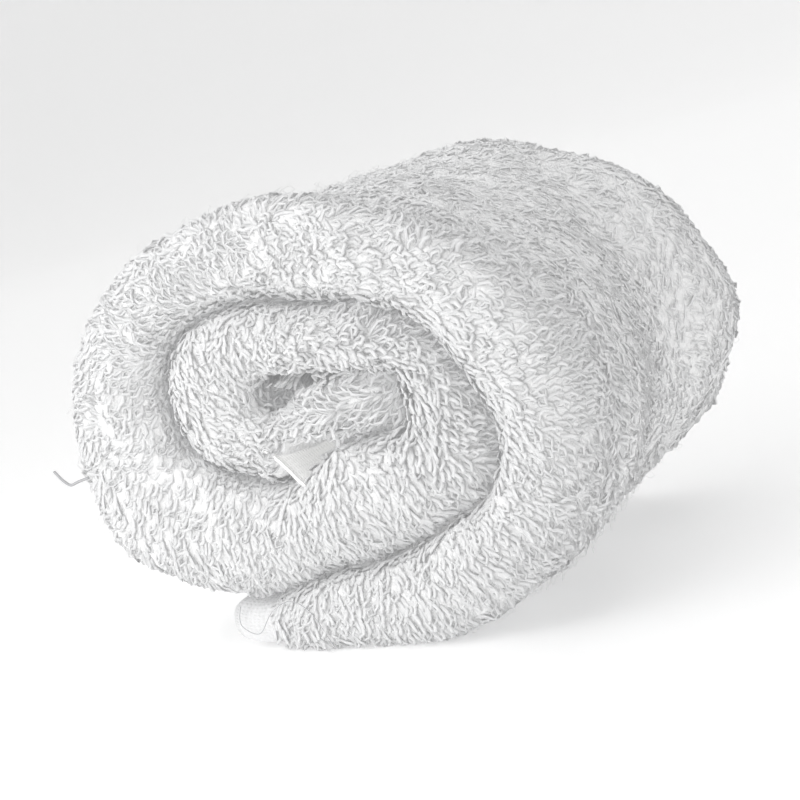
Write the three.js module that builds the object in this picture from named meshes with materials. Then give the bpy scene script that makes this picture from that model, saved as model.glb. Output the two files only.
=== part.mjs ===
// A white terry hand towel, folded lengthwise into a thick band and rolled up around an open eye.
// Millimetres, +Z up. The roll lies along Y with its near end at -Y, and it rests on z = 0.
// The folded band is one solid of its wound form. Its four layers lie pressed together in it.

import * as THREE from 'three';

// The towel and its folds: half across the width, and half again
const TOWEL_WIDTH = 400;
const LAYERS = 4;
const FOLDS_AND_PILE = 10;
const ROLL_LENGTH = TOWEL_WIDTH / LAYERS + FOLDS_AND_PILE;

// The eye that the band is wound around, seen from the near end
const EYE = { x: -7.5, z: 61.5 };

// How the band is wound. A turn is counted in degrees from the inner end, clockwise from +X
// as seen from the near end. The outside is the distance from the eye to the band's outer face.
const INNER_END = -5;
const TAIL_END = 836;
const FULL_TURN = 360;
const TURN_GAP = 0.8;
const WINDING = [
  { turn: -5, outside: 29 },
  { turn: 15, outside: 32 },
  { turn: 27, outside: 25 },
  { turn: 44, outside: 16 },
  { turn: 65, outside: 13.5 },
  { turn: 92, outside: 14 },
  { turn: 106, outside: 21 },
  { turn: 125, outside: 22.5 },
  { turn: 165, outside: 31 },
  { turn: 195, outside: 31 },
  { turn: 235, outside: 25 },
  { turn: 270, outside: 21.5 },
  { turn: 305, outside: 24 },
  { turn: 330, outside: 33 },
  { turn: 355, outside: 45 },
  { turn: 380, outside: 54.5 },
  { turn: 405, outside: 48 },
  { turn: 440, outside: 42.5 },
  { turn: 475, outside: 52 },
  { turn: 515, outside: 67 },
  { turn: 545, outside: 60 },
  { turn: 585, outside: 48.5 },
  { turn: 620, outside: 43.5 },
  { turn: 655, outside: 47 },
  { turn: 688, outside: 57 },
  { turn: 712, outside: 69 },
  { turn: 735, outside: 75 },
  { turn: 765, outside: 71.5 },
  { turn: 800, outside: 64.5 },
  { turn: 836, outside: 65 },
];

// The band's inner face as far as it leans on nothing: around the eye, over the curled inner end
// and along the pocket under it. From there on each turn lies on the one before.
const LEANING_FROM = 466;
const INNER_WALL = [
  { turn: -5, inside: 6.5 },
  { turn: 45, inside: 5 },
  { turn: 90, inside: 5 },
  { turn: 180, inside: 7 },
  { turn: 270, inside: 5 },
  { turn: 305, inside: 6.5 },
  { turn: 330, inside: 11 },
  { turn: 343, inside: 18 },
  { turn: 350, inside: 26 },
  { turn: 357, inside: 32.8 },
  { turn: 375, inside: 33.4 },
  { turn: 405, inside: 23.5 },
  { turn: 440, inside: 20 },
  { turn: 466, inside: 21.8 },
];

// How the roll is drawn in to a waist and swells again at its loose far end, which is rounder:
// the tuck draws in its flanks below the middle. The place along the roll runs from 0 at the
// near end to 1 at the far end.
const TUCK_BELOW = 52;
const LENGTHWISE = [
  { along: 0, wide: 1, high: 1, lift: 0, tuck: 0 },
  { along: 0.28, wide: 1.045, high: 0.97, lift: 0, tuck: 0 },
  { along: 0.66, wide: 0.89, high: 0.955, lift: 1.7, tuck: 0 },
  { along: 0.9, wide: 1.042, high: 0.995, lift: 0, tuck: 0.21 },
  { along: 1, wide: 1.011, high: 1.012, lift: 0, tuck: 0.21 },
];

// The rounded edges of the band: the nested folds in front, the looser ones at the back
const NEAR_NOSE = 8;
const FAR_NOSE = 12;
const EYE_RECESS = 3;
const EDGE_WANDER = 1.4;

// The blunt ends of the band: the tail is cut upright, and both have softened corners
const TAIL_SLANT = 4;
const SLANT_REACH = 40;
const END_ROUNDING = 5;
const END_STEPS = [0, 0.15, 0.45, 1];
const END_THICKNESS = 0.62;

// The weight of the cloth presses the underside flat
const SETTLE = 1.1;

// Facets
const TURN_STEP = 6;
const NOSE_FACETS = 7;
const SIDE_FACETS = 9;

const radians = THREE.MathUtils.degToRad;
const clamp = THREE.MathUtils.clamp;
const smoothstep = THREE.MathUtils.smoothstep;

// A smooth curve through one column of a table, level where the column turns back
function follow(table, key, column, at) {
  let row = 0;
  while (row < table.length - 2 && at > table[row + 1][key]) {
    row += 1;
  }
  const slope = (index) => {
    const here = clamp(index, 0, table.length - 2);
    const rise = table[here + 1][column] - table[here][column];
    return rise / (table[here + 1][key] - table[here][key]);
  };
  const tangent = (index) => {
    if (index === 0 || index === table.length - 1) {
      return slope(index === 0 ? 0 : index - 1);
    }
    const before = slope(index - 1);
    const after = slope(index);
    return before * after > 0 ? (before + after) / 2 : 0;
  };
  const span = table[row + 1][key] - table[row][key];
  const s = (at - table[row][key]) / span;
  const startWeight = 2 * s ** 3 - 3 * s ** 2 + 1;
  const startPull = s ** 3 - 2 * s ** 2 + s;
  const endPull = s ** 3 - s ** 2;
  return startWeight * table[row][column]
    + (1 - startWeight) * table[row + 1][column]
    + span * (startPull * tangent(row) + endPull * tangent(row + 1));
}

// Distance from the eye to the outer and the inner face of the band
function outsideAt(turn) {
  return follow(WINDING, 'turn', 'outside', turn);
}

function insideAt(turn) {
  if (turn < LEANING_FROM) {
    return follow(INNER_WALL, 'turn', 'inside', turn);
  }
  return outsideAt(turn - FULL_TURN) + TURN_GAP;
}

// The band's rounded section. A point has its place across the band, from -1 at the inner face
// to 1 at the outer one, and its place along the roll: a distance from either end, or a share
// of the straight stretch between.
function bandSection() {
  const points = [];
  for (let i = 0; i <= NOSE_FACETS; i += 1) {
    const angle = radians(-90 + (180 * i) / NOSE_FACETS);
    points.push({ across: Math.sin(angle), fromNear: NEAR_NOSE * (1 - Math.cos(angle)) });
  }
  for (let i = 1; i < SIDE_FACETS; i += 1) {
    points.push({ across: 1, share: i / SIDE_FACETS });
  }
  for (let i = 0; i <= NOSE_FACETS; i += 1) {
    const angle = radians(90 - (180 * i) / NOSE_FACETS);
    points.push({ across: Math.sin(angle), fromFar: FAR_NOSE * (1 - Math.cos(angle)) });
  }
  for (let i = 1; i < SIDE_FACETS; i += 1) {
    points.push({ across: -1, share: 1 - i / SIDE_FACETS });
  }
  return points;
}

// The band's edges are a little uneven from turn to turn, and the eye lies a little deeper
function nearEdge(turn) {
  const wander = EDGE_WANDER * (1 + Math.sin(radians(turn * 0.9 + 40))) / 2;
  return wander + EYE_RECESS * smoothstep(FULL_TURN - turn, 0, FULL_TURN);
}

function farEdge(turn) {
  return ROLL_LENGTH - EDGE_WANDER * (1 + Math.sin(radians(turn * 1.3))) / 2;
}

function placeAlong(point, turn) {
  const near = nearEdge(turn);
  const far = farEdge(turn);
  if (point.fromNear !== undefined) {
    return near + point.fromNear;
  }
  if (point.fromFar !== undefined) {
    return far - point.fromFar;
  }
  return near + NEAR_NOSE + point.share * (far - near - NEAR_NOSE - FAR_NOSE);
}

// From turn, place across and place along to the lying roll
function lyingPoint(turn, across, place) {
  const middle = (outsideAt(turn) + insideAt(turn)) / 2;
  const half = (outsideAt(turn) - insideAt(turn)) / 2;
  const radius = middle + half * across;
  const x = EYE.x + radius * Math.cos(radians(turn));
  const z = EYE.z - radius * Math.sin(radians(turn)) - SETTLE;
  const along = place / ROLL_LENGTH;
  const wide = follow(LENGTHWISE, 'along', 'wide', along);
  const high = follow(LENGTHWISE, 'along', 'high', along);
  const lift = follow(LENGTHWISE, 'along', 'lift', along);
  const tuck = follow(LENGTHWISE, 'along', 'tuck', along);
  const lying = Math.max(z * high + lift, 0);
  const low = Math.max(1 - lying / TUCK_BELOW, 0);
  const narrow = wide * (1 - tuck * low ** 2);
  return new THREE.Vector3(x * narrow, place - ROLL_LENGTH / 2, lying);
}

// Stations along the band: even steps, and closer ones where its ends are rounded off
function stations() {
  const list = [];
  const innerReach = END_ROUNDING / radians(outsideAt(INNER_END));
  const tailReach = END_ROUNDING / radians(outsideAt(TAIL_END));
  for (const step of END_STEPS) {
    list.push({ turn: INNER_END + step * innerReach, full: step });
  }
  const first = INNER_END + innerReach;
  const last = TAIL_END - tailReach;
  const count = Math.round((last - first) / TURN_STEP);
  for (let i = 1; i < count; i += 1) {
    list.push({ turn: first + ((last - first) * i) / count, full: 1 });
  }
  for (const step of [...END_STEPS].reverse()) {
    list.push({ turn: TAIL_END - step * tailReach, full: step });
  }
  return list;
}

// One ring of points around the band at a station
function ringAt(station, section) {
  const roundOff = Math.sqrt(1 - (1 - station.full) ** 2);
  const thickness = END_THICKNESS + (1 - END_THICKNESS) * roundOff;
  const inset = END_ROUNDING * (1 - roundOff);
  const slant = TAIL_SLANT * smoothstep(station.turn, TAIL_END - SLANT_REACH, TAIL_END);
  return section.map((point) => {
    const turn = clamp(station.turn - slant * point.across, INNER_END, TAIL_END + TAIL_SLANT);
    const place = placeAlong(point, station.turn);
    const middle = ROLL_LENGTH / 2;
    const shrunk = middle + (place - middle) * (1 - inset / middle);
    return lyingPoint(turn, point.across * thickness, shrunk);
  });
}

// Skins the rings into one closed body with a flat fan on each blunt end
function woundBand() {
  const section = bandSection();
  const rings = stations().map((station) => ringAt(station, section));
  const around = section.length;
  const positions = rings.flat().flatMap((point) => point.toArray());
  const indices = [];
  for (let i = 0; i < rings.length - 1; i += 1) {
    for (let j = 0; j < around; j += 1) {
      const a = i * around + j;
      const b = i * around + ((j + 1) % around);
      indices.push(b, a, a + around);
      indices.push(b, a + around, b + around);
    }
  }
  for (const [ring, flip] of [[0, true], [rings.length - 1, false]]) {
    const middle = new THREE.Vector3();
    rings[ring].forEach((point) => middle.addScaledVector(point, 1 / around));
    const centre = positions.length / 3;
    positions.push(...middle.toArray());
    for (let j = 0; j < around; j += 1) {
      const a = ring * around + j;
      const b = ring * around + ((j + 1) % around);
      indices.push(...(flip ? [a, b, centre] : [b, a, centre]));
    }
  }
  const geometry = new THREE.BufferGeometry();
  geometry.setAttribute('position', new THREE.Float32BufferAttribute(positions, 3));
  geometry.setIndex(indices);
  return geometry;
}

// Centres the roll over its footprint
function centred(geometry) {
  geometry.computeBoundingBox();
  const box = geometry.boundingBox;
  geometry.translate(-(box.min.x + box.max.x) / 2, -(box.min.y + box.max.y) / 2, 0);
  geometry.computeVertexNormals();
  return geometry;
}

const whiteTerry = new THREE.MeshStandardMaterial({ color: 0xf4f4f2, roughness: 1, metalness: 0 });
whiteTerry.name = 'white terry cotton';

const towelRoll = new THREE.Mesh(centred(woundBand()), whiteTerry);
towelRoll.name = 'towel_roll';

const rolledHandTowel = new THREE.Group();
rolledHandTowel.name = 'rolled_hand_towel';
rolledHandTowel.add(towelRoll);

export default rolledHandTowel;
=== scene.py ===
# A white terry hand towel, folded in four and rolled up: the cloth as one thin folded sheet,
# its looped pile, its flat hems and a few loose threads.

import bpy
import numpy as np
from mathutils import Matrix, Vector
from mathutils.bvhtree import BVHTree


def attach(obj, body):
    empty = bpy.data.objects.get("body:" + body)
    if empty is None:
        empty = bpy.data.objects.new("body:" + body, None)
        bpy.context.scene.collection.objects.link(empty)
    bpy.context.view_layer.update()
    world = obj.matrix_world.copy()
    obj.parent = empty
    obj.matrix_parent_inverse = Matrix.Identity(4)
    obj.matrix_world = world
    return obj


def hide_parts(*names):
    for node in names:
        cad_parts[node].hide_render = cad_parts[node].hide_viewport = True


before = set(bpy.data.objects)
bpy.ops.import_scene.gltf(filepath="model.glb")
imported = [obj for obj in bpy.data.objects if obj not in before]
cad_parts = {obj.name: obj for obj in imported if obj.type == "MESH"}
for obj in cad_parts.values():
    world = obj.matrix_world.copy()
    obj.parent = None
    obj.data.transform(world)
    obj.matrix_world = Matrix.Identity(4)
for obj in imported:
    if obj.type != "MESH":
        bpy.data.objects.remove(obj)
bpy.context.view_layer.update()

# Sizes are in mm, and MM turns them into Blender's metres
MM = 0.001
TOWEL_WIDTH = 400
LAYERS = 4
FOLDS_AND_PILE = 10
ROLL_LENGTH = TOWEL_WIDTH / LAYERS + FOLDS_AND_PILE

# The winding, as in the part's source but closer about the eye and the pocket: turns in degrees,
# distances from the eye
EYE_X = -7.5
EYE_Z = 61.5
INNER_END = -9
TAIL_END = 836
FULL_TURN = 360
LEANING_FROM = 466
TURN_GAP = 0.8
WINDING = [
    (-9, 27), (-5, 29), (15, 32), (27, 25), (44, 16), (65, 12.8), (92, 12.6), (106, 21), (125, 22.5),
    (165, 31), (195, 31), (235, 25), (270, 21.5), (305, 24), (330, 33), (355, 45), (380, 54.5),
    (405, 48), (440, 42.5), (475, 52), (515, 67), (545, 60), (585, 48.5), (620, 43.5), (655, 47),
    (688, 57), (712, 69), (735, 75), (765, 71.5), (800, 64.5), (836, 65),
]
INNER_WALL = [
    (-9, 4.5), (45, 3), (90, 3), (180, 4.5), (270, 3.5), (305, 5), (330, 10), (343, 17),
    (350, 26), (357, 32.6), (375, 32.6), (390, 25.8), (405, 18), (425, 17.8), (442, 19.5), (466, 21.8),
]
WIDE = [(0, 1), (0.28, 1.045), (0.66, 0.89), (0.9, 1.042), (1, 1.011)]
HIGH = [(0, 1), (0.28, 0.97), (0.66, 0.955), (0.9, 0.995), (1, 1.012)]
LIFT = [(0, 0), (0.28, 0), (0.66, 1.7), (0.9, 0), (1, 0)]
TUCK = [(0, 0), (0.28, 0), (0.66, 0), (0.9, 0.21), (1, 0.21)]
TUCK_BELOW = 52
EYE_RECESS = 3
EDGE_WANDER = 1.4
SETTLE = 1.1
TAIL_SLANT = 4
SLANT_REACH = 40

# The folded cloth inside the band, whose nominal half thickness is 10
BAND_HALF = 10
LAYER_OUT = 6.9
LAYER_IN = 2.3
CLOTH_HALF = 2.25
SELVEDGE_HALF = 0.8
SELVEDGE_WIDTH = 5
HEM_HALF_SHARE = 0.5
HEM_WIDTH_TURNS = 13
OUTER_FOLD_AT = 8
OUTER_FOLD_DEPTH = 4.5
INNER_FOLD_AT = 9.8
INNER_FOLD_DEPTH = 2.4
FAR_FOLD_BACK = 6
FAR_FOLD_DEPTH = 3.2
FAR_EDGE_BACK = 5
FAR_LAST_BACK = 3
FAR_SQUEEZE = 0.2
FAR_SQUEEZE_LENGTH = 12
PUFF = 0.6
PUFF_LENGTH = 24
CLOTH_ABOVE_FLOOR = 1.3

# The pile
LOOP_WIDTH = 1.6
LOOP_HEIGHT = 3.1
LOOP_ROOT = 1.2
YARN_RADIUS = 0.5
LOOP_SPIN = 0.45
PILE_ABOVE_FLOOR = 0.1
LEAST_OPEN = 0.05
ALL_PLACES = -1
NOSE_REACH = (20, 6)

# How the pile is combed: down, in soft swirls, and outwards on the round near end
COMB_HANG = 0.5
COMB_SWIRL = 0.4
COMB_OUTWARDS = 0.8
COMB_UNEVEN = 0.2
SWIRL_LENGTH = 15
TOP_PRESSED = 8
LEAN_UNEVEN = 9

# The pile on the inner end stands over its edge, is longer about the eye, and is bare over the strip
END_PILE_TURNS = 16
END_PILE_TILT = 0.9
LONGER_ABOUT_EYE = 0.35
BARE_OVER_STRIP = (66, 108)

# How much a loop is shaded like the pile around it, and how much light goes through its yarn
FLUFF = 0.85
SEEN_THROUGH = 0.45

# Painted light: an even emission in each cotton, which stands for the light that goes from fibre to
# fibre many more times than a render follows it and lifts the shade in the gaps between the loops
YARN_PAINTED_LIGHT = 0.25
# The inner hem's is larger: painted light on its face in the shaded pocket
INNER_HEM_PAINTED_LIGHT = 0.24
TAIL_HEM_PAINTED_LIGHT = 0.06
GROUND_PAINTED_LIGHT = 0.12
THREAD_PAINTED_LIGHT = 0.02


def follow(table, at):
    """A smooth curve through the rows of a table, level where its values turn back."""
    place, value = np.array(table, float).T
    slope = np.diff(value) / np.diff(place)
    before = np.concatenate([slope[:1], slope])
    after = np.concatenate([slope, slope[-1:]])
    tangent = np.where(before * after > 0, (before + after) / 2, 0)
    tangent[0] = slope[0]
    tangent[-1] = slope[-1]
    row = np.clip(np.searchsorted(place, at) - 1, 0, len(place) - 2)
    span = place[row + 1] - place[row]
    s = (at - place[row]) / span
    start = 2 * s**3 - 3 * s**2 + 1
    pull = (s**3 - 2 * s**2 + s) * tangent[row] + (s**3 - s**2) * tangent[row + 1]
    return start * value[row] + (1 - start) * value[row + 1] + span * pull


def smoothstep(value, low, high):
    s = np.clip((value - low) / (high - low), 0, 1)
    return s * s * (3 - 2 * s)


def waves(points, length, seed, count=6):
    """Three smooth uneven values, mostly between -1 and 1, at each point."""
    rng = np.random.default_rng(seed)
    result = []
    for _ in range(3):
        direction = rng.normal(size=(count, 3))
        direction /= np.linalg.norm(direction, axis=1)[:, None]
        pace = 2 * np.pi / (length * rng.uniform(0.7, 1.5, count))
        phase = rng.uniform(0, 2 * np.pi, count)
        swell = np.sin(points @ direction.T * pace + phase)
        result.append(swell.sum(axis=-1) / np.sqrt(count))
    return np.stack(result, axis=-1)


def outside(turn):
    return follow(WINDING, turn)


def inside(turn):
    leaning = outside(np.maximum(turn - FULL_TURN, INNER_END)) + TURN_GAP
    return np.where(turn < LEANING_FROM, follow(INNER_WALL, np.minimum(turn, LEANING_FROM)), leaning)


def near_edge(turn):
    wander = EDGE_WANDER * (1 + np.sin(np.radians(turn * 0.9 + 40))) / 2
    return wander + EYE_RECESS * smoothstep(FULL_TURN - turn, 0, FULL_TURN)


def far_edge(turn):
    return ROLL_LENGTH - EDGE_WANDER * (1 + np.sin(np.radians(turn * 1.3))) / 2


def lying(turn, across, place):
    """From turn, place across the band and place along the roll to x, y, z."""
    middle = (outside(turn) + inside(turn)) / 2
    half = (outside(turn) - inside(turn)) / 2
    return from_eye(turn, middle + half * across, place)


def from_eye(turn, radius, place):
    """From turn, distance from the eye and place along the roll to x, y, z."""
    x = EYE_X + radius * np.cos(np.radians(turn))
    z = EYE_Z - radius * np.sin(np.radians(turn)) - SETTLE
    along = place / ROLL_LENGTH
    z = z * follow(HIGH, along) + follow(LIFT, along)
    low = np.clip(1 - z / TUCK_BELOW, 0, 1)
    x = x * follow(WIDE, along) * (1 - follow(TUCK, along) * low**2)
    return np.stack(np.broadcast_arrays(x, place - ROLL_LENGTH / 2, z), axis=-1)


def footprint_middle():
    """The middle of the wound band's footprint, which the frame has at its origin."""
    turn = np.linspace(INNER_END, TAIL_END, 900)[:, None]
    place = np.linspace(0, ROLL_LENGTH, 45)[None, :]
    skin = lying(turn, np.ones_like(place), place)[..., 0]
    near = near_edge(turn).min()
    far = far_edge(turn).max()
    return np.array([(skin.min() + skin.max()) / 2, (near + far - ROLL_LENGTH) / 2, 0])


MIDDLE = footprint_middle()


def run(across, first, last, steps):
    """A straight stretch of the folded section, without its first point."""
    place = np.linspace(first, last, steps + 1)[1:]
    return np.column_stack([np.full(steps, across), place])


def fold(middle, place, reach, depth, side, steps):
    """A rounded fold from one layer to the next, without its first point."""
    angle = np.radians(np.linspace(-90, 90, steps + 1))[1:] * side
    return np.column_stack([middle + reach * np.sin(angle), place + depth * np.cos(angle)])


def folded_path():
    """The middle of the cloth from one selvedge to the other, as it lies folded in four."""
    far_fold = ROLL_LENGTH - FAR_FOLD_BACK
    start = np.array([[-LAYER_IN, ROLL_LENGTH - FAR_EDGE_BACK]])
    between = (LAYER_OUT + LAYER_IN) / 2
    reach = (LAYER_OUT - LAYER_IN) / 2
    return np.concatenate([
        start,
        run(-LAYER_IN, start[0, 1], start[0, 1] - SELVEDGE_WIDTH, 3),
        run(-LAYER_IN, start[0, 1] - SELVEDGE_WIDTH, INNER_FOLD_AT, 8),
        fold(0, INNER_FOLD_AT, LAYER_IN, -INNER_FOLD_DEPTH, 1, 6),
        run(LAYER_IN, INNER_FOLD_AT, far_fold, 9),
        fold(between, far_fold, reach, FAR_FOLD_DEPTH, 1, 8),
        run(LAYER_OUT, far_fold, OUTER_FOLD_AT, 30),
        fold(0, OUTER_FOLD_AT, LAYER_OUT, -OUTER_FOLD_DEPTH, -1, 12),
        run(-LAYER_OUT, OUTER_FOLD_AT, ROLL_LENGTH - FAR_LAST_BACK - SELVEDGE_WIDTH, 14),
        run(-LAYER_OUT, ROLL_LENGTH - FAR_LAST_BACK - SELVEDGE_WIDTH, ROLL_LENGTH - FAR_LAST_BACK, 3),
    ])


PATH = folded_path()
PATH_STEP = np.linalg.norm(np.diff(PATH, axis=0), axis=1)
PATH_AT = np.concatenate([[0], np.cumsum(PATH_STEP)])
PATH_END = PATH_AT[-1]
PATH_TANGENT = np.gradient(PATH, PATH_AT, axis=0)
PATH_TANGENT /= np.linalg.norm(PATH_TANGENT, axis=1)[:, None]
PATH_OUT = np.column_stack([-PATH_TANGENT[:, 1], PATH_TANGENT[:, 0]])
OUTER_LAYER_STARTS = PATH_AT[np.argmax(PATH[:, 0] > LAYER_OUT - 0.01)]


def along_path(at, values):
    return np.interp(at, PATH_AT, values)


def hem_share(turn):
    """How thick the cloth is, from the flat woven hem at the tail to the full pile."""
    fromtail = smoothstep(TAIL_END - turn, HEM_WIDTH_TURNS - 2, HEM_WIDTH_TURNS + 2)
    return HEM_HALF_SHARE + (1 - HEM_HALF_SHARE) * fromtail


def cloth_half(at, turn):
    fromedge = np.minimum(at, PATH_END - at)
    full = SELVEDGE_HALF + (CLOTH_HALF - SELVEDGE_HALF) * smoothstep(fromedge, 2, SELVEDGE_WIDTH)
    return full * hem_share(turn)


def cloth_point(turn, at, face, above=0.0):
    """A point of the cloth: its turn, its place from selvedge to selvedge, which face it is on
    (1 outwards, -1 inwards, 0 in the middle) and its height above that face."""
    push = face * (cloth_half(at, turn) + above)
    a = along_path(at, PATH[:, 0]) + push * along_path(at, PATH_OUT[:, 0])
    y = along_path(at, PATH[:, 1]) + push * along_path(at, PATH_OUT[:, 1])
    nearing = smoothstep(y, ROLL_LENGTH - FAR_SQUEEZE_LENGTH, ROLL_LENGTH)
    across = a / BAND_HALF * (1 - FAR_SQUEEZE * nearing)
    slant = TAIL_SLANT * smoothstep(turn, TAIL_END - SLANT_REACH, TAIL_END)
    at_turn = np.clip(turn - slant * across, INNER_END, TAIL_END + TAIL_SLANT)
    near = near_edge(turn)
    place = near + y * (far_edge(turn) - near) / ROLL_LENGTH
    point = lying(at_turn, across, place) - MIDDLE
    point = point + PUFF * waves(point, PUFF_LENGTH, 5)
    over = point[..., 2] - CLOTH_ABOVE_FLOOR
    point[..., 2] = CLOTH_ABOVE_FLOOR + (over + np.sqrt(over**2 + 0.5)) / 2
    return point


def new_mesh(name, points, faces):
    mesh = bpy.data.meshes.new(name)
    mesh.from_pydata((np.asarray(points) * MM).tolist(), [], faces)
    mesh.polygons.foreach_set("use_smooth", [True] * len(mesh.polygons))
    mesh.update()
    piece = bpy.data.objects.new(name, mesh)
    bpy.context.scene.collection.objects.link(piece)
    return piece


def folded_cloth(material, hem_material):
    """The whole towel as one closed thin sheet, folded in four and wound up."""
    turns = np.concatenate([
        np.linspace(INNER_END, INNER_END + 6, 4),
        np.arange(INNER_END + 9, TAIL_END - 20, 3.0),
        np.linspace(TAIL_END - 18, TAIL_END, 10),
    ])[:, None]
    at = PATH_AT[None, :]
    outer = cloth_point(turns, at, 1)
    inner = cloth_point(turns, at, -1)
    middle = cloth_point(turns, at, 0)
    first_edge = middle[:, :1] + (middle[:, :1] - middle[:, 1:2]) * 0.3
    last_edge = middle[:, -1:] + (middle[:, -1:] - middle[:, -2:-1]) * 0.3
    rings = np.concatenate([first_edge, outer, last_edge, inner[:, ::-1]], axis=1)
    stations, around = rings.shape[:2]
    faces = []
    for i in range(stations - 1):
        for j in range(around):
            k = (j + 1) % around
            faces.append((i * around + j, i * around + k, (i + 1) * around + k, (i + 1) * around + j))
    count = len(PATH_AT)
    for ring, flip in ((0, True), (stations - 1, False)):
        base = ring * around
        cap = [(base, base + 1, base + around - 1)]
        for j in range(1, count):
            cap.append((base + j, base + j + 1, base + around - j - 1, base + around - j))
        cap.append((base + count, base + count + 1, base + count + 2))
        faces.extend(f if flip else f[::-1] for f in cap)
    piece = new_mesh("towel_cloth", rings.reshape(-1, 3), faces)
    mesh = piece.data
    mesh.validate()
    uv = mesh.uv_layers.new(name="cloth")
    vertex = np.empty(len(mesh.loops), int)
    mesh.loops.foreach_get("vertex_index", vertex)
    path_place = np.concatenate([[0], PATH_AT, [PATH_END], PATH_AT[::-1]])
    u = np.repeat(turns[:, 0], around)
    v = np.tile(path_place, stations)
    uv.data.foreach_set("uv", np.column_stack([u[vertex] * MM, v[vertex] * MM]).ravel())
    mesh.materials.append(material)
    mesh.materials.append(hem_material)
    first_of_hem = np.argmax(turns[:, 0] > TAIL_END - HEM_WIDTH_TURNS - 3) * around
    for polygon in mesh.polygons:
        if min(polygon.vertices) >= first_of_hem:
            polygon.material_index = 1
    return piece


def closed_strip(name, middle, half, material):
    """A closed flat piece around a grid of middle points, with thinner edges."""
    across, along = middle.shape[:2]
    by_across = np.gradient(middle, axis=0)
    by_along = np.gradient(middle, axis=1)
    normal = unit(np.cross(by_across, by_along))
    rim = np.minimum(np.arange(across), np.arange(across)[::-1])
    thick = half * np.minimum(0.45 + 0.55 * rim / 2, 1)[:, None, None]
    rings = np.concatenate([middle + normal * thick, (middle - normal * thick)[::-1]], axis=0)
    around = rings.shape[0]
    faces = []
    for i in range(along - 1):
        for j in range(around):
            k = (j + 1) % around
            faces.append((j * along + i, k * along + i, k * along + i + 1, j * along + i + 1))
    for i, flip in ((0, True), (along - 1, False)):
        for j in range(across - 1):
            quad = (j, j + 1, around - j - 2, around - j - 1)
            cap = [corner * along + i for corner in quad]
            faces.append(tuple(cap if flip else cap[::-1]))
    piece = new_mesh(name, rings.reshape(-1, 3), faces)
    uv = piece.data.uv_layers.new(name="cloth")
    vertex = np.empty(len(piece.data.loops), int)
    piece.data.loops.foreach_get("vertex_index", vertex)
    reach = np.concatenate([[0], np.cumsum(np.linalg.norm(np.diff(middle[:, 0], axis=0), axis=1))])
    u = np.repeat(np.concatenate([reach, reach[::-1]]), along)
    v = np.tile(middle[0, :, 1], around)
    uv.data.foreach_set("uv", np.column_stack([u[vertex] * MM, v[vertex] * MM]).ravel())
    piece.data.materials.append(material)
    if signed_volume(piece) < 0:
        piece.data.flip_normals()
    return piece


# The flat woven hem of the inner end, which shows in the pocket under the curled end
HEM_STRIP = [(110, 12.5), (102.5, 13.2), (96, 15), (90, 17.4), (85, 20.2), (80, 23)]
HEM_STRIP_FROM = 3.5
HEM_STRIP_LENGTH = 60
HEM_STRIP_HALF = 0.4


def hem_strip(material):
    turn, distance = np.array(HEM_STRIP, float).T
    step = np.linspace(0, 1, 17)
    knots = np.linspace(0, 1, len(turn))
    turn = np.interp(step, knots, turn)[:, None]
    distance = np.interp(step, knots, distance)[:, None]
    place = np.linspace(HEM_STRIP_FROM, HEM_STRIP_FROM + HEM_STRIP_LENGTH, 30)[None, :]
    middle = from_eye(turn + 0 * place, distance + 0 * place, place + 1.5 * step[:, None]) - MIDDLE
    middle = middle + 0.35 * waves(middle, 18, 31)
    return closed_strip("hem_strip", middle, HEM_STRIP_HALF, material)


def tube(name, middle, radius, material, sides=5):
    """A closed thread through a row of points."""
    middle = np.asarray(middle, float)
    ahead = unit(np.gradient(middle, axis=0))
    side = unit(np.cross(ahead, (0.31, 0.17, 0.93)))
    other = np.cross(ahead, side)
    angle = np.linspace(0, 2 * np.pi, sides, endpoint=False)
    ring = side[:, None] * np.cos(angle)[:, None] + other[:, None] * np.sin(angle)[:, None]
    points = (middle[:, None] + radius * ring).reshape(-1, 3)
    faces = [tuple(range(sides))[::-1], tuple(range(len(points) - sides, len(points)))]
    for i in range(len(middle) - 1):
        for j in range(sides):
            k = (j + 1) % sides
            faces.append((i * sides + j, i * sides + k, (i + 1) * sides + k, (i + 1) * sides + j))
    piece = new_mesh(name, points, faces)
    piece.data.materials.append(material)
    if signed_volume(piece) < 0:
        piece.data.flip_normals()
    return piece


# Turn, distance from the eye and place along the roll of each loose thread's knots
TAIL_THREAD = [
    (832.5, 53, 1), (831.6, 56.4, 1), (826.8, 56.8, 1), (822.7, 51.6, 1),
    (815.8, 47.9, 1), (809.9, 50, 1), (806.4, 57.1, 1), (803, 61, 1),
]
SIDE_THREAD = [(527, 61, 4.8), (527.1, 64, 4.2), (527, 66.3, 3.8), (528.4, 68, 3.4), (531, 69.8, 3.4)]


def thread_points(knots, fineness=7):
    turn, distance, place = np.array(knots, float).T
    rows = np.arange(len(knots))
    step = np.linspace(0, len(knots) - 1, fineness * len(knots))
    values = [follow(np.column_stack([rows, column]), step) for column in (turn, distance, place)]
    return from_eye(*values) - MIDDLE


def laid_on(bvh, points, above):
    """Moves points along the camera's line of sight until they lie on the cloth's face."""
    eye = np.array(CAMERA_PLACE) - MIDDLE
    result = []
    for point in points:
        sight = Vector(unit(point - eye))
        hit, normal = bvh.ray_cast(Vector(eye * MM), sight)[:2]
        if hit:
            result.append(np.array(hit) / MM + np.array(normal) * above)
    result = np.array(result)
    soft = result.copy()
    for _ in range(6):
        soft[1:-1] = (soft[:-2] + 2 * soft[1:-1] + soft[2:]) / 4
    return soft


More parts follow.
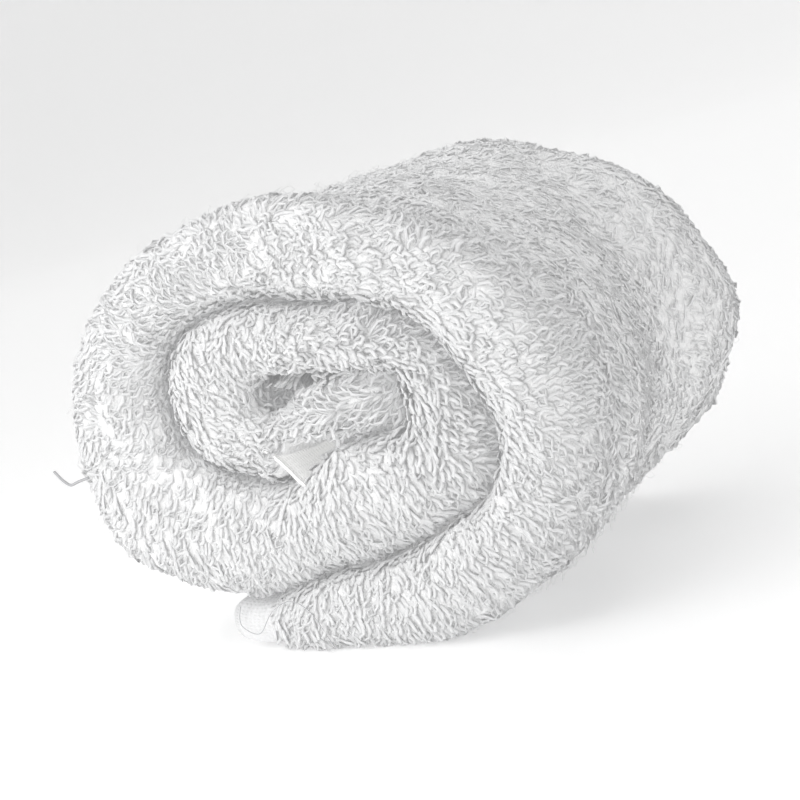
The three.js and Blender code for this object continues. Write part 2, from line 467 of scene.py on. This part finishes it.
def flat_weave(n, place):
    """The hem's close weave, with a cord of thicker threads every few millimetres."""
    flat = n.add("ShaderNodeUVMap", uv_map="cloth").outputs[0]
    threads = []
    for scale, uneven, direction in ((230.0, 0.4, "X"), (300.0, 0.4, "Y"), (62.0, 0.2, "X")):
        wave = n.add("ShaderNodeTexWave", {
            "Vector": flat,
            "Scale": scale,
            "Distortion": uneven,
        }, bands_direction=direction)
        threads.append(wave.outputs["Fac"])
    fine, cross, cord = threads
    both = n.math("MULTIPLY", fine, cross)
    height = n.math("ADD", both, n.math("MULTIPLY", cord, 1.4))
    return n.add("ShaderNodeBump", {"Height": height, "Strength": 0.5, "Distance": 0.0003}).outputs[0]


def signed_volume(piece):
    mesh = piece.data
    mesh.calc_loop_triangles()
    corner = np.empty(len(mesh.vertices) * 3)
    mesh.vertices.foreach_get("co", corner)
    corner = corner.reshape(-1, 3)
    index = np.empty(len(mesh.loop_triangles) * 3, int)
    mesh.loop_triangles.foreach_get("vertices", index)
    a, b, c = (corner[index.reshape(-1, 3)[:, k]] for k in range(3))
    return float(np.einsum("ij,ij->i", a, np.cross(b, c)).sum() / 6)


def unit(vector):
    return vector / np.maximum(np.linalg.norm(vector, axis=-1, keepdims=True), 1e-9)


def scatter(first_turn, last_turn, first_at, last_at, face, spacing, seed):
    """Even staggered places on one face of the cloth, as turns and path places."""
    rng = np.random.default_rng(seed)
    rows = np.arange(first_at + spacing / 2, last_at, spacing * 0.87)
    fine = np.linspace(first_turn, last_turn, int(abs(last_turn - first_turn)) + 2)
    turns, ats = [], []
    for number, at in enumerate(rows):
        curve = cloth_point(fine, np.full_like(fine, at), face)
        length = np.concatenate([[0], np.cumsum(np.linalg.norm(np.diff(curve, axis=0), axis=1))])
        stops = np.arange(spacing * (0.25 + 0.5 * (number % 2)), length[-1], spacing)
        stops = stops + rng.uniform(-0.3, 0.3, len(stops)) * spacing
        turns.append(np.interp(stops, length, fine))
        ats.append(at + rng.uniform(-0.3, 0.3, len(stops)) * spacing)
    return np.concatenate(turns), np.concatenate(ats)


def frames_on(turn, at, face):
    """Point, outward direction, direction along the path and along the winding."""
    here = cloth_point(turn, at, face)
    along_at = unit(cloth_point(turn, at + 0.4, face) - cloth_point(turn, at - 0.4, face))
    along_turn = unit(cloth_point(turn + 0.5, at, face) - cloth_point(turn - 0.5, at, face))
    outward = unit(np.cross(along_at, along_turn))
    rise = cloth_point(turn, at, face, 0.5) - here
    outward *= np.sign(np.einsum("ij,ij->i", outward, rise))[:, None]
    return here, outward, along_at, along_turn


def sky_directions():
    """Straight up, and two rings of directions around it."""
    directions = [Vector((0, 0, 1))]
    for height, count in ((0.75, 4), (0.35, 5)):
        reach = np.sqrt(1 - height**2)
        for step in range(count):
            angle = 2 * np.pi * (step + height) / count
            directions.append(Vector((reach * np.cos(angle), reach * np.sin(angle), height)))
    return directions


SKY = sky_directions()


def open_share(tree, points, outward, reach=26):
    """How much of the space above each point is open."""
    share = np.zeros(len(points))
    for index, (point, out) in enumerate(zip(points, outward)):
        up = Vector(out)
        turn = up.to_track_quat("Z", "Y")
        origin = Vector(point) + up * 0.5
        free = 0
        for direction in SKY:
            if tree.ray_cast(origin * MM, turn @ direction, reach * MM)[0] is None:
                free += 1
        share[index] = free / len(SKY)
    return share


def socket(tree, name, kind, default):
    made = tree.interface.new_socket(name, in_out="INPUT", socket_type=kind)
    if default is not None:
        made.default_value = default
    return made


class Nodes:
    """Short names for adding and joining the nodes of a tree."""

    def __init__(self, tree):
        self.tree = tree

    def add(self, kind, inputs=None, **settings):
        node = self.tree.nodes.new(kind)
        for name, value in settings.items():
            setattr(node, name, value)
        for name, value in (inputs or {}).items():
            target = node.inputs[name]
            if isinstance(value, bpy.types.NodeSocket):
                self.tree.links.new(value, target)
            else:
                target.default_value = value
        return node

    def math(self, operation, first, second=0.0):
        return self.add("ShaderNodeMath", {0: first, 1: second}, operation=operation).outputs[0]

    def attribute(self, name, kind):
        node = self.add("GeometryNodeInputNamedAttribute", {"Name": name}, data_type=kind)
        return node.outputs["Attribute"]


def pile_tree():
    """Geometry Nodes: a loop of yarn on every point, turned and sized by the point's attributes."""
    tree = bpy.data.node_groups.new("terry loops", "GeometryNodeTree")
    tree.interface.new_socket("Geometry", in_out="INPUT", socket_type="NodeSocketGeometry")
    socket(tree, "Loop width", "NodeSocketFloat", LOOP_WIDTH * MM)
    socket(tree, "Loop height", "NodeSocketFloat", LOOP_HEIGHT * MM)
    socket(tree, "Yarn radius", "NodeSocketFloat", YARN_RADIUS * MM)
    socket(tree, "Droop", "NodeSocketFloat", 0.5)
    socket(tree, "Steps", "NodeSocketInt", 8)
    socket(tree, "Sides", "NodeSocketInt", 4)
    socket(tree, "Material", "NodeSocketMaterial", None)
    tree.interface.new_socket("Geometry", in_out="OUTPUT", socket_type="NodeSocketGeometry")
    n = Nodes(tree)
    given = n.add("NodeGroupInput").outputs
    line = n.add("GeometryNodeCurvePrimitiveLine", {"End": (0, 0, 1)}).outputs["Curve"]
    curve = n.add("GeometryNodeResampleCurve", {"Curve": line, "Count": given["Steps"]}).outputs["Curve"]
    factor = n.add("GeometryNodeSplineParameter").outputs["Factor"]
    angle = n.math("MULTIPLY", factor, 2 * np.pi)
    rise = n.math("MULTIPLY", n.math("SUBTRACT", 1.0, n.math("COSINE", angle)), 0.5)
    belly = n.math("MULTIPLY", n.math("SINE", angle), n.math("POWER", rise, 0.8))
    x = n.math("MULTIPLY", n.math("MULTIPLY", belly, 0.7), given["Loop width"])
    legs = n.math("MULTIPLY", n.math("COSINE", n.math("MULTIPLY", angle, 0.5)), given["Yarn radius"])
    bend = n.math("MULTIPLY", n.math("MULTIPLY", rise, rise), given["Droop"])
    y = n.math("ADD", n.math("MULTIPLY", bend, given["Loop height"]), legs)
    z = n.math("MULTIPLY", rise, given["Loop height"])
    place = n.add("ShaderNodeCombineXYZ", {"X": x, "Y": y, "Z": z}).outputs[0]
    bent = n.add("GeometryNodeSetPosition", {"Geometry": curve, "Position": place}).outputs[0]
    ring = n.add("GeometryNodeCurvePrimitiveCircle", {
        "Resolution": given["Sides"],
        "Radius": given["Yarn radius"],
    }).outputs["Curve"]
    loop = n.add("GeometryNodeCurveToMesh", {"Curve": bent, "Profile Curve": ring}).outputs[0]
    smooth = n.add("GeometryNodeSetShadeSmooth", {"Geometry": loop}).outputs[0]
    facing = n.attribute("facing", "FLOAT_VECTOR")
    lean = n.attribute("lean", "FLOAT_VECTOR")
    up = n.add("FunctionNodeAlignRotationToVector", {"Vector": facing}, axis="Z").outputs[0]
    leaned = n.add("FunctionNodeAlignRotationToVector", {
        "Rotation": up,
        "Vector": lean,
    }, axis="Y", pivot_axis="Z").outputs[0]
    spin = n.add("FunctionNodeAxisAngleToRotation", {
        "Axis": (0, 0, 1),
        "Angle": n.attribute("spin", "FLOAT"),
    }).outputs[0]
    spun = n.add("FunctionNodeRotateRotation", {0: leaned, 1: spin}, rotation_space="LOCAL").outputs[0]
    placed = n.add("GeometryNodeInstanceOnPoints", {
        "Points": given["Geometry"],
        "Instance": smooth,
        "Rotation": spun,
        "Scale": n.attribute("size", "FLOAT_VECTOR"),
    }).outputs[0]
    real = n.add("GeometryNodeRealizeInstances", {"Geometry": placed}).outputs[0]
    finished = n.add("GeometryNodeSetMaterial", {
        "Geometry": real,
        "Material": given["Material"],
    }).outputs[0]
    n.add("NodeGroupOutput", {"Geometry": finished})
    return tree


def grow(name, tree, points, attributes, settings):
    """Puts a Geometry Nodes tree on a cloud of points and keeps its result as a plain mesh."""
    cloud = bpy.data.meshes.new(name + "_places")
    cloud.from_pydata((points * MM).tolist(), [], [])
    for key, values in attributes.items():
        kind, field = ("FLOAT_VECTOR", "vector") if values.ndim == 2 else ("FLOAT", "value")
        layer = cloud.attributes.new(key, kind, "POINT")
        layer.data.foreach_set(field, values.astype(np.float32).ravel())
    piece = bpy.data.objects.new(name, cloud)
    bpy.context.scene.collection.objects.link(piece)
    modifier = piece.modifiers.new("pile", "NODES")
    modifier.node_group = tree
    for item in tree.interface.items_tree:
        if item.item_type == "SOCKET" and item.in_out == "INPUT" and item.name in settings:
            modifier[item.identifier] = settings[item.name]
    bpy.context.view_layer.update()
    grown = bpy.data.meshes.new_from_object(piece.evaluated_get(bpy.context.evaluated_depsgraph_get()))
    piece.modifiers.remove(modifier)
    piece.data = grown
    grown.name = name
    bpy.data.meshes.remove(cloud)
    corner = np.empty(len(grown.vertices) * 3, np.float32)
    grown.vertices.foreach_get("co", corner)
    corner = corner.reshape(-1, 3)
    corner[:, 2] = np.maximum(corner[:, 2], PILE_ABOVE_FLOOR * MM)
    grown.vertices.foreach_set("co", corner.ravel())
    grown.update()
    return piece


def pile_directions(points, outward, along_at, along_turn, turn, nose, lean, rng):
    """Which way each loop stands and which way it is combed."""
    over_end = smoothstep(turn, INNER_END + END_PILE_TURNS, INNER_END)[:, None]
    outward = unit(outward - END_PILE_TILT * over_end * along_turn)
    down = np.array([0.0, 0.0, -1.0])
    hang = down - outward * (outward @ down)[:, None]
    swirl = waves(points, SWIRL_LENGTH, 11)
    swirl = swirl - outward * np.einsum("ij,ij->i", swirl, outward)[:, None]
    toward_eye = smoothstep(turn, 330, 230)[:, None]
    outwards_on_nose = -along_at * (1 - 1.7 * toward_eye)
    comb = COMB_HANG * hang + COMB_SWIRL * swirl + (COMB_OUTWARDS * nose)[:, None] * outwards_on_nose
    comb = unit(comb + rng.normal(scale=COMB_UNEVEN, size=comb.shape))
    comb = unit(comb - outward * np.einsum("ij,ij->i", comb, outward)[:, None])
    flattened = lean + TOP_PRESSED * smoothstep(outward[:, 2], 0.2, 0.9)
    angle = np.radians(rng.normal(flattened, LEAN_UNEVEN))[:, None]
    stand = unit(outward * np.cos(angle) + comb * np.sin(angle))
    return stand, comb


def pile_piece(name, tree, bvh, patches, lean, settings, material, seed, least_open):
    """One piece of pile from patches of the cloth: first and last turn, first and last place on the
    path, face and spacing. Places that are less open than least_open stay bare."""
    rng = np.random.default_rng(seed)
    collected = []
    for first_turn, last_turn, first_at, last_at, face, spacing in patches:
        turn, at = scatter(first_turn, last_turn, first_at, last_at, face, spacing, seed)
        point, outward, along_at, along_turn = frames_on(turn, at, face)
        share = open_share(bvh, point, outward)
        keep = (share > least_open) & (turn < TAIL_END - HEM_WIDTH_TURNS + 1)
        first_bare, last_bare = BARE_OVER_STRIP
        over_strip = (turn > first_bare) & (turn < last_bare) & (point[:, 1] < 0)
        keep &= ~(over_strip & (along_path(at, PATH[:, 0]) > 4))
        collected.append([v[keep] for v in (point, outward, along_at, along_turn, turn)])
    point, outward, along_at, along_turn, turn = (np.concatenate(v) for v in zip(*collected))
    nose = smoothstep(point[:, 1] + ROLL_LENGTH / 2, *NOSE_REACH)
    stand, comb = pile_directions(point, outward, along_at, along_turn, turn, nose, lean, rng)
    count = len(point)
    width = rng.uniform(0.8, 1.25, count)
    above_tongue = smoothstep(turn, 315, 335) * smoothstep(turn, 400, 380)
    about_eye = np.maximum(smoothstep(turn, 70, 30), above_tongue)
    height = rng.uniform(0.85, 1.12, count) * (1 + LONGER_ABOUT_EYE * nose * about_eye)
    attributes = {
        "outward": outward,
        "facing": stand,
        "lean": comb,
        "spin": rng.normal(0, LOOP_SPIN, count),
        "size": np.column_stack([width, np.ones(count), height]),
    }
    settings = dict(settings)
    settings["Material"] = material
    return grow(name, tree, point - stand * LOOP_ROOT, attributes, settings)


def colour_node(n, low, high, scale):
    """Two close tones mixed by a soft noise over the piece."""
    place = n.add("ShaderNodeTexCoord").outputs["Object"]
    cloud = n.add("ShaderNodeTexNoise", {"Vector": place, "Scale": scale, "Detail": 3.0})
    mix = n.add("ShaderNodeMix", {"Factor": cloud.outputs["Fac"]}, data_type="RGBA")
    mix.inputs["A"].default_value = (*low, 1)
    mix.inputs["B"].default_value = (*high, 1)
    return mix.outputs["Result"]


def fluffy_normal(n):
    """Loose fibres scatter light all round, so a loop is shaded partly like the pile it is in."""
    pile = n.add("ShaderNodeAttribute", attribute_name="outward").outputs["Vector"]
    own = n.add("ShaderNodeNewGeometry").outputs["Normal"]
    mix = n.add("ShaderNodeMix", {"Factor": FLUFF}, data_type="VECTOR")
    n.tree.links.new(own, mix.inputs[4])
    n.tree.links.new(pile, mix.inputs[5])
    return n.add("ShaderNodeVectorMath", {0: mix.outputs[1]}, operation="NORMALIZE").outputs[0]


def cotton(name, low, high, relief, seen_through, painted_light):
    """Matt cotton: close tones of white, soft at grazing light, with a relief. Some light goes through
    thin yarn, and a little even emission is painted light, which stands for light that stays among the
    fibres and lifts the shade between them."""
    material = bpy.data.materials.new(name)
    material.use_nodes = True
    tree = material.node_tree
    tree.nodes.clear()
    n = Nodes(tree)
    place = n.add("ShaderNodeTexCoord").outputs["Object"]
    shader = n.add("ShaderNodeBsdfPrincipled", {
        "Base Color": colour_node(n, low, high, 90),
        "Roughness": 0.95,
        "Normal": relief(n, place),
        "Specular IOR Level": 0.15,
        "Sheen Weight": 0.3,
        "Sheen Roughness": 0.6,
        # Painted light: an even emission in the cotton's lighter tone
        "Emission Color": (*high, 1),
        "Emission Strength": painted_light,
    })
    surface = shader.outputs[0]
    if seen_through:
        through = n.add("ShaderNodeBsdfTranslucent", {"Color": (*high, 1)})
        mix = n.add("ShaderNodeMixShader", {0: seen_through, 1: surface, 2: through.outputs[0]})
        surface = mix.outputs[0]
    n.add("ShaderNodeOutputMaterial", {"Surface": surface})
    return material


def fibres(n, place):
    """The fine fibres along a yarn."""
    noise = n.add("ShaderNodeTexNoise", {"Vector": place, "Scale": 2600.0, "Detail": 4.0})
    return n.add("ShaderNodeBump", {
        "Height": noise.outputs["Fac"],
        "Strength": 0.3,
        "Distance": 0.0002,
        "Normal": fluffy_normal(n),
    }).outputs[0]


def deep_loops(n, place):
    """The lower loops that the upper ones hide, with fibres on them."""
    cells = n.add("ShaderNodeTexVoronoi", {
        "Vector": place,
        "Scale": 620.0,
        "Smoothness": 0.4,
    }, feature="SMOOTH_F1")
    low = n.add("ShaderNodeBump", {
        "Height": cells.outputs["Distance"],
        "Strength": 0.7,
        "Distance": 0.001,
    }, invert=True)
    noise = n.add("ShaderNodeTexNoise", {"Vector": place, "Scale": 2200.0, "Detail": 4.0})
    return n.add("ShaderNodeBump", {
        "Height": noise.outputs["Fac"],
        "Strength": 0.5,
        "Distance": 0.0003,
        "Normal": low.outputs[0],
    }).outputs[0]


# A large soft light close by on the front left and a weaker one from above, in metres, the bright
# room, and a floor that stays pale
FRONT_FROM = (-0.12, -0.3, 0.22)
FRONT_SIZE = 0.36
FRONT_WATTS = 0.5
ABOVE_FROM = (-0.35, 0.05, 0.93)
ABOVE_STRENGTH = 1.75
ABOVE_SOFTNESS = 100
ROOM_STRENGTH = 0.16
FLOOR_GLOW = 0.2


def add_light(data, place):
    light = bpy.data.objects.new(data.name, data)
    light.location = place
    light.rotation_euler = (Vector(place) - Vector((0, 0, 0.05))).to_track_quat("Z", "Y").to_euler()
    bpy.context.scene.collection.objects.link(light)


def studio():
    """A plain white floor that rises into a round white wall, one soft light and a bright room."""
    white = bpy.data.materials.new("white floor")
    white.use_nodes = True
    shader = white.node_tree.nodes["Principled BSDF"]
    shader.inputs["Base Color"].default_value = (0.93, 0.93, 0.93, 1)
    shader.inputs["Roughness"].default_value = 1.0
    shader.inputs["Specular IOR Level"].default_value = 0.0
    shader.inputs["Emission Color"].default_value = (1, 1, 1, 1)
    shader.inputs["Emission Strength"].default_value = FLOOR_GLOW
    bend = np.radians(np.linspace(0, 90, 10))
    reach = np.concatenate([[0.001, 0.6, 1.4, 2.2], 2.2 + 0.8 * np.sin(bend[1:]), [3.0]])
    height = np.concatenate([[0, 0, 0, 0], 0.8 * (1 - np.cos(bend[1:])), [1.7]])
    around = np.radians(np.arange(0, 360, 5))
    rings = np.stack([
        reach[:, None] * np.cos(around),
        reach[:, None] * np.sin(around),
        height[:, None] * np.ones_like(around),
    ], axis=-1)
    count = len(around)
    faces = []
    for i in range(len(reach) - 1):
        for j in range(count):
            k = (j + 1) % count
            faces.append((i * count + j, (i + 1) * count + j, (i + 1) * count + k, i * count + k))
    floor = new_mesh("floor", rings.reshape(-1, 3) / MM, faces)
    floor.data.materials.append(white)
    above = bpy.data.lights.new("light from above", "SUN")
    above.energy = ABOVE_STRENGTH
    above.angle = np.radians(ABOVE_SOFTNESS)
    add_light(above, ABOVE_FROM)
    front = bpy.data.lights.new("front light", "AREA")
    front.energy = FRONT_WATTS
    front.size = FRONT_SIZE
    add_light(front, FRONT_FROM)
    world = bpy.data.worlds.new("bright room")
    bpy.context.scene.world = world
    world.use_nodes = True
    world.node_tree.nodes["Background"].inputs["Color"].default_value = (1, 1, 1, 1)
    world.node_tree.nodes["Background"].inputs["Strength"].default_value = ROOM_STRENGTH
    bpy.context.scene.view_settings.view_transform = "Standard"


# The camera stands near the roll's end, to its right and a little above, and is tipped sideways
CAMERA_BEARING = 32.72
CAMERA_RISE = 9.9
CAMERA_TIP = -13.66
CAMERA_LENS = 72
CAMERA_PLACE = (207.24, -332.4, 114.3)


def photo_camera():
    bearing = np.radians(CAMERA_BEARING)
    rise = np.radians(CAMERA_RISE)
    tip = np.radians(CAMERA_TIP)
    ahead = np.array([-np.sin(bearing) * np.cos(rise), np.cos(bearing) * np.cos(rise), -np.sin(rise)])
    right = np.array([np.cos(bearing), np.sin(bearing), 0])
    up = np.cross(right, ahead)
    tipped_right = right * np.cos(tip) + up * np.sin(tip)
    tipped_up = up * np.cos(tip) - right * np.sin(tip)
    data = bpy.data.cameras.new("camera")
    data.lens = CAMERA_LENS
    data.sensor_width = 36
    data.clip_start = 0.01
    camera = bpy.data.objects.new("camera", data)
    turn = Matrix(np.column_stack([tipped_right, tipped_up, -ahead]).tolist()).to_4x4()
    place = (np.array(CAMERA_PLACE) - MIDDLE) * MM
    camera.matrix_world = Matrix.Translation(Vector(place)) @ turn
    bpy.context.scene.collection.objects.link(camera)
    bpy.context.scene.camera = camera


# The cottons, each with its darkest and lightest tone
# The terry ground, with an even emission: painted light that lifts the shade under and between the loops
terry_ground = cotton("terry ground", (0.86, 0.86, 0.86), (0.9, 0.9, 0.9), deep_loops, 0, GROUND_PAINTED_LIGHT)
# The yarn, with an even emission: painted light that lifts the shade between the loops
terry_yarn = cotton(
    "terry yarn", (0.95, 0.952, 0.955), (0.97, 0.972, 0.975), fibres, SEEN_THROUGH, YARN_PAINTED_LIGHT
)
# The tail hem: darker tones than the inner hem's same weave, painted shade that tones down the light
# from above falling full on it, with a little painted light
tail_hem_weave_painted_shade_and_light = cotton(
    "hem weave", (0.8, 0.8, 0.805), (0.86, 0.86, 0.865), flat_weave, 0, TAIL_HEM_PAINTED_LIGHT
)
# The inner hem: lighter tones and more emission than the tail hem's same weave, painted light on its
# face in the shaded pocket under the curled end
inner_hem_weave_painted_light = cotton(
    "inner hem weave painted light", (0.93, 0.925, 0.915), (0.95, 0.95, 0.94), flat_weave, 0, INNER_HEM_PAINTED_LIGHT
)
# The threads, with a very small even emission: painted light
thin_thread = cotton("thin thread", (0.5, 0.5, 0.51), (0.6, 0.6, 0.61), fibres, 0, THREAD_PAINTED_LIGHT)
loose_yarn = cotton("loose yarn", (0.42, 0.42, 0.43), (0.55, 0.55, 0.56), fibres, 0, THREAD_PAINTED_LIGHT)

photo_camera()
studio()

cloth = folded_cloth(terry_ground, tail_hem_weave_painted_shade_and_light)
if signed_volume(cloth) < 0:
    cloth.data.flip_normals()
bvh = BVHTree.FromObject(cloth, bpy.context.evaluated_depsgraph_get())
strip = hem_strip(inner_hem_weave_painted_light)

# Where the pile's patches begin and end along the path from selvedge to selvedge
near_fold = PATH_AT[np.argmin(np.abs(PATH[:, 1] - OUTER_FOLD_AT) + np.abs(PATH[:, 0] - LAYER_OUT))]
inner_face = near_fold + 20
nose_from = near_fold - 16
nose_to = inner_face + 16
body_from = OUTER_LAYER_STARTS + 8
far_from = OUTER_LAYER_STARTS - 12

# The loops near the camera, those farther off, those inside the eye, and thin pulled fibres
near_loops = {"Steps": 7, "Sides": 3}
far_loops = {
    "Steps": 6,
    "Sides": 3,
    "Loop height": 2.7 * MM,
    "Loop width": 1.35 * MM,
    "Yarn radius": 0.45 * MM,
}
eye_loops = {"Steps": 7, "Sides": 3, "Loop height": 4.4 * MM}
thin_fibres = {
    "Steps": 8,
    "Sides": 3,
    "Loop width": 2.4 * MM,
    "Loop height": 4.4 * MM,
    "Yarn radius": 0.035 * MM,
}

# Name, patches, lean in degrees, loops, least open share and seed of each piece of pile
PILES = [
    ("pile_front_low", [
        (640, TAIL_END, nose_from, nose_to, 1, 1.5),
    ], 48, near_loops, LEAST_OPEN, 20),
    ("pile_front_turn", [
        (440, 640, nose_from, nose_to, 1, 1.5),
    ], 48, near_loops, LEAST_OPEN, 21),
    ("pile_front_inner", [
        (INNER_END, 440, nose_from, inner_face - 3, 1, 1.5),
        (345, 440, inner_face - 3, nose_to, 1, 1.5),
    ], 44, near_loops, LEAST_OPEN, 22),
    ("pile_eye", [
        (INNER_END, 345, inner_face - 3, inner_face + 16, 1, 1.7),
    ], 14, eye_loops, ALL_PLACES, 23),
    ("pile_body_low", [
        (TAIL_END - 372, 620, body_from, nose_from, 1, 2.0),
    ], 50, far_loops, LEAST_OPEN, 24),
    ("pile_body_top", [
        (620, TAIL_END, body_from, nose_from, 1, 1.9),
    ], 52, far_loops, LEAST_OPEN, 25),
    ("pile_far", [
        (INNER_END, TAIL_END, far_from, body_from, 1, 2.0),
        (INNER_END, TAIL_END, PATH_END - 16, PATH_END - 3, 1, 2.3),
    ], 45, far_loops, LEAST_OPEN, 26),
    ("pile_fuzz", [
        (440, TAIL_END, body_from, nose_to, 1, 5.5),
    ], 30, thin_fibres, LEAST_OPEN, 41),
]
tree = pile_tree()
made = []
for name, patches, lean, loops, least_open, seed in PILES:
    made.append(pile_piece(name, tree, bvh, patches, lean, loops, terry_yarn, seed, least_open))

made.append(tube("thread_tail", laid_on(bvh, thread_points(TAIL_THREAD), 1.5), 0.11, thin_thread))
made.append(tube("thread_side", thread_points(SIDE_THREAD), 0.4, loose_yarn))

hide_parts("towel_roll")
for piece in [cloth, strip, *made]:
    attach(piece, "root")
